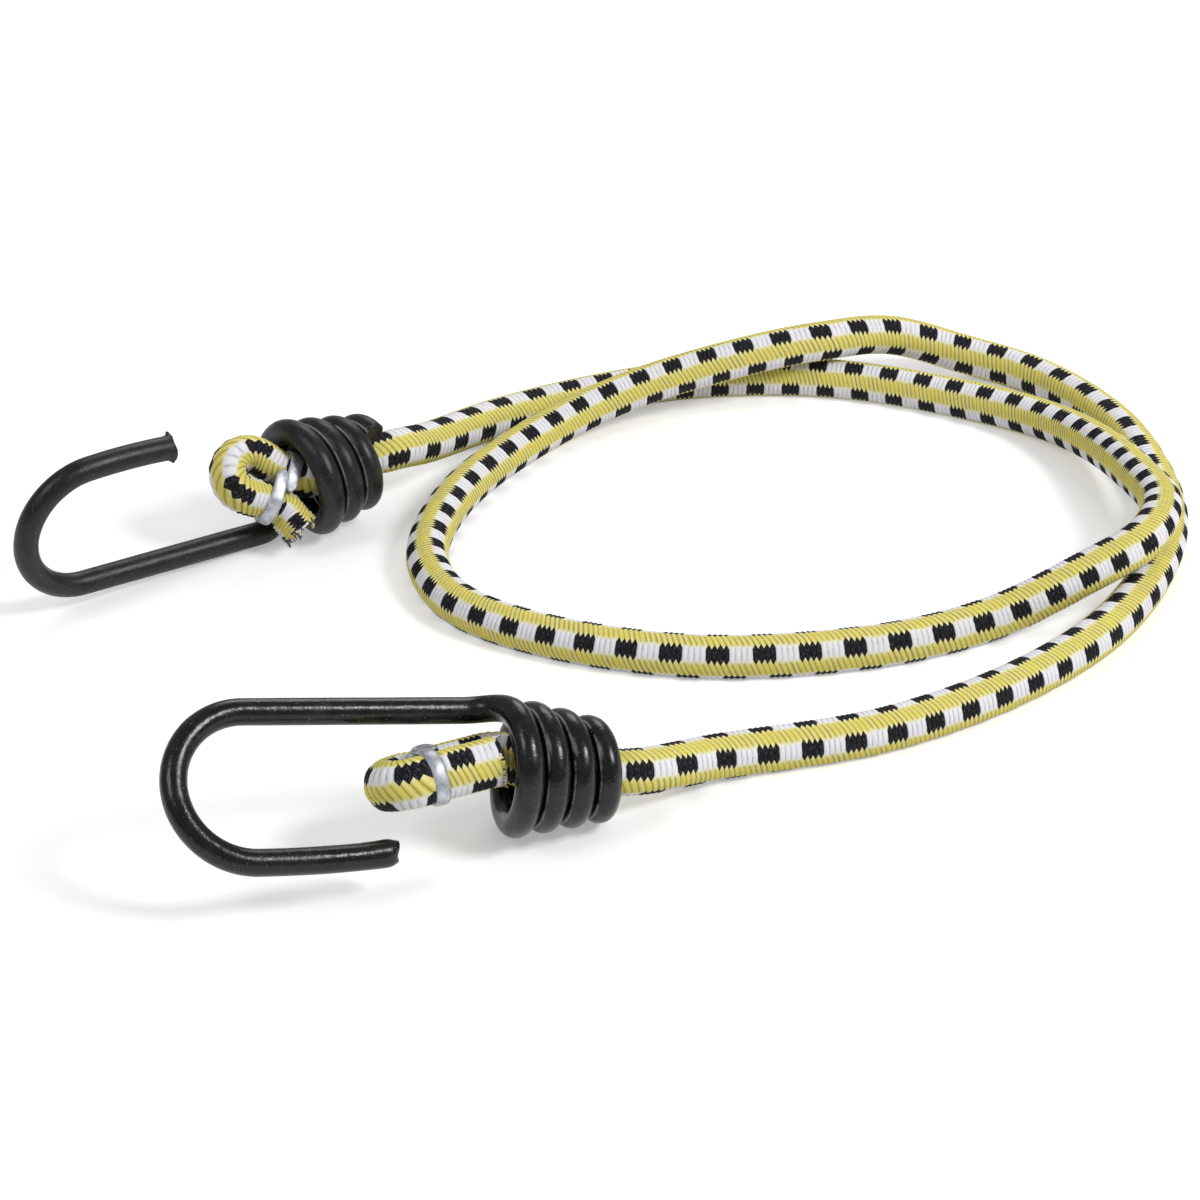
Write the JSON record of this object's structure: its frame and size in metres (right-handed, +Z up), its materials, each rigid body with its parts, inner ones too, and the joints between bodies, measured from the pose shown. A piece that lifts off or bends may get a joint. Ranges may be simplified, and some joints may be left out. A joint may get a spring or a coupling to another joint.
{
  "type": "bungee cord",
  "caption": "Elastic bungee cord in a yellow braided jacket with black and white checks, lying in a loose loop, with a black coated wire hook coiled on each end.",
  "frame": {"origin": "on the surface that the cord lies on, under the middle of the box round the two hooks and the folded ends", "axes": "+Z up from the surface that it lies on; +Y the longest side of the box round the two hooks, from hook B to hook A; +X towards the loop of the cord"},
  "size_m": [0.2195, 0.2051, 0.032],
  "materials": {
    "jacket": "braided synthetic yarn, yellow with rows of black and white checks",
    "rubber": "raw latex rubber strand",
    "vinyl": "satin black vinyl dip",
    "steel": "drawn wire",
    "zinc": "dull zinc plate"
  },
  "bodies": {
    "cord": {"jacket_main": "jacket", "core_strand_main_0": "rubber", "core_strand_main_1": "rubber", "core_strand_main_2": "rubber", "core_strand_main_3": "rubber", "core_strand_main_4": "rubber", "core_strand_main_5": "rubber", "core_strand_main_6": "rubber"},
    "end_a": {"jacket_end_a": "jacket", "core_strand_end_a_0": "rubber", "core_strand_end_a_1": "rubber", "core_strand_end_a_2": "rubber", "core_strand_end_a_3": "rubber", "core_strand_end_a_4": "rubber", "core_strand_end_a_5": "rubber", "core_strand_end_a_6": "rubber", "crimp_ring_a": "zinc"},
    "end_b": {"jacket_end_b": "jacket", "core_strand_end_b_0": "rubber", "core_strand_end_b_1": "rubber", "core_strand_end_b_2": "rubber", "core_strand_end_b_3": "rubber", "core_strand_end_b_4": "rubber", "core_strand_end_b_5": "rubber", "core_strand_end_b_6": "rubber", "crimp_ring_b": "zinc"},
    "hook_a": {"hook_coating_a": "vinyl", "hook_wire_a": "steel"},
    "hook_b": {"hook_coating_b": "vinyl", "hook_wire_b": "steel"}
  },
  "joints": [
    {"name": "stretch_a", "type": "slide", "parent": "cord", "child": "end_a", "axis": [-0.808, -0.5892, 0.0087], "range_m": [0, 0.05], "stiffness_N_per_m": 4000, "deforming": ["jacket_main", "core_strand_main_0", "core_strand_main_1", "core_strand_main_2", "core_strand_main_3", "core_strand_main_4", "core_strand_main_5", "core_strand_main_6"]},
    {"name": "stretch_b", "type": "slide", "parent": "cord", "child": "end_b", "axis": [-0.9294, -0.2913, 0.2267], "range_m": [0, 0.08], "stiffness_N_per_m": 2500, "deforming": ["jacket_main", "core_strand_main_0", "core_strand_main_1", "core_strand_main_2", "core_strand_main_3", "core_strand_main_4", "core_strand_main_5", "core_strand_main_6"]},
    {"name": "swivel_a", "type": "hinge", "parent": "end_a", "child": "hook_a", "pos_m": [-0.00683, 0.05762, 0.01179], "axis": [-0.808, -0.5892, 0.0087], "range_deg": [-72, 0]},
    {"name": "swivel_b", "type": "hinge", "parent": "end_b", "child": "hook_b", "pos_m": [0.03579, -0.04487, 0.01265], "axis": [-0.9294, -0.2913, 0.2267], "range_deg": [-70, 25]}
  ]
}
